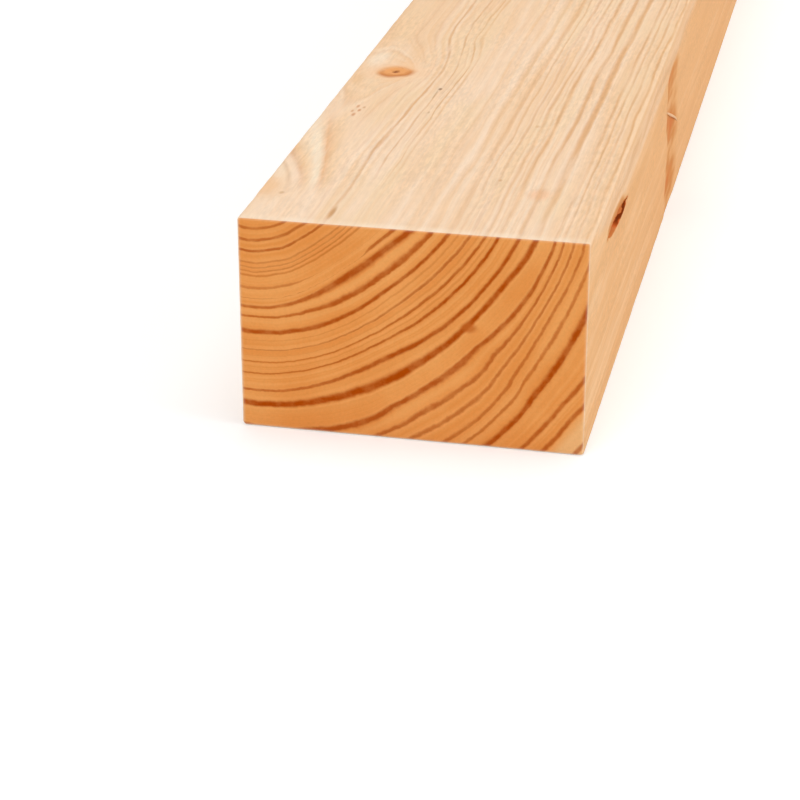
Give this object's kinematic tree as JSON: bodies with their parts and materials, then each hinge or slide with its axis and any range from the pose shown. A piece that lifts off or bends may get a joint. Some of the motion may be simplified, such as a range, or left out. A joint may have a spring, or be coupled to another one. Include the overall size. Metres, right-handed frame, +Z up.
{
  "type": "planed softwood plank",
  "caption": "Straight planed softwood plank of rectangular section with square-cut ends and slightly eased long edges, general building stock for framing and carpentry.",
  "frame": {"origin": "middle of the underside, the lower wide face", "axes": "+X across the width, +Y along the grain from the near end to the far end, +Z up through the thickness"},
  "size_m": [0.07, 1.8, 0.045],
  "materials": {
    "planed_wood": "matte"
  },
  "bodies": {
    "root": {"plank": "planed_wood"}
  },
  "joints": []
}
